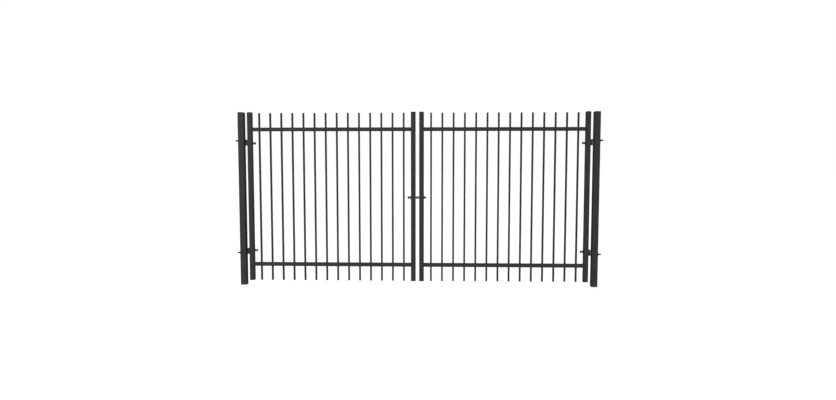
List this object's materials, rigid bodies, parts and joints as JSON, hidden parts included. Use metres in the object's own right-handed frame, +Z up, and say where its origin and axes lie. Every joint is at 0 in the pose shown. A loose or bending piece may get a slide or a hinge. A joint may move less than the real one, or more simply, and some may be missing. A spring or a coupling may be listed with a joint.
{
  "type": "double-leaf driveway gate with posts",
  "caption": "Driveway gate in dark painted square steel tube: two posts and two inward-opening leaves of vertical bars, with adjustable bolt hinges and lapped padlock eyes.",
  "frame": {"origin": "middle of the left post's foot, at ground level", "axes": "+X from the left post to the right post, +Y to the inside, which the leaves open towards, +Z up"},
  "size_m": [3.916, 0.065, 1.861],
  "materials": {
    "post_paint": "satin powder coat",
    "frame_paint": "satin powder coat",
    "bar_paint": "satin powder coat",
    "fitting_paint": "satin coat over threads",
    "cap_plastic": "fine moulded texture"
  },
  "bodies": {
    "posts": {"left_post": "post_paint", "left_post_cap": "cap_plastic", "left_post_washers": "fitting_paint", "left_post_nuts": "fitting_paint", "left_pin_nuts": "fitting_paint", "left_lower_gudgeon": "fitting_paint", "left_upper_gudgeon": "fitting_paint", "right_post": "post_paint", "right_post_cap": "cap_plastic", "right_post_washers": "fitting_paint", "right_post_nuts": "fitting_paint", "right_pin_nuts": "fitting_paint", "right_lower_gudgeon": "fitting_paint", "right_upper_gudgeon": "fitting_paint"},
    "left_leaf": {"left_hinge_stile": "frame_paint", "left_meeting_stile": "frame_paint", "left_stile_caps": "cap_plastic", "left_bottom_rail": "frame_paint", "left_top_rail": "frame_paint", "left_bars": "bar_paint", "left_bar_caps": "cap_plastic", "left_hinge_nuts": "fitting_paint", "left_hinge_lock_nuts": "fitting_paint", "left_lower_hinge_eye": "fitting_paint", "left_upper_hinge_eye": "fitting_paint", "left_lock_eye": "fitting_paint", "left_lock_bolt": "fitting_paint", "left_lock_washer": "fitting_paint", "left_lock_nut": "fitting_paint", "left_lock_second_nut": "fitting_paint"},
    "right_leaf": {"right_hinge_stile": "frame_paint", "right_meeting_stile": "frame_paint", "right_stile_caps": "cap_plastic", "right_bottom_rail": "frame_paint", "right_top_rail": "frame_paint", "right_bars": "bar_paint", "right_bar_caps": "cap_plastic", "right_hinge_nuts": "fitting_paint", "right_hinge_lock_nuts": "fitting_paint", "right_lower_hinge_eye": "fitting_paint", "right_upper_hinge_eye": "fitting_paint", "right_lock_eye": "fitting_paint", "right_lock_bolt": "fitting_paint", "right_lock_washer": "fitting_paint", "right_lock_nut": "fitting_paint"}
  },
  "joints": [
    {"name": "left_leaf_hinge", "type": "hinge", "parent": "posts", "child": "left_leaf", "pos_m": [0.0495, 0.0135, 0.358], "axis": [0, 0, 1], "range_deg": [0, 90]},
    {"name": "right_leaf_hinge", "type": "hinge", "parent": "posts", "child": "right_leaf", "pos_m": [3.7215, 0.0135, 0.358], "axis": [0, 0, -1], "range_deg": [0, 90]}
  ]
}
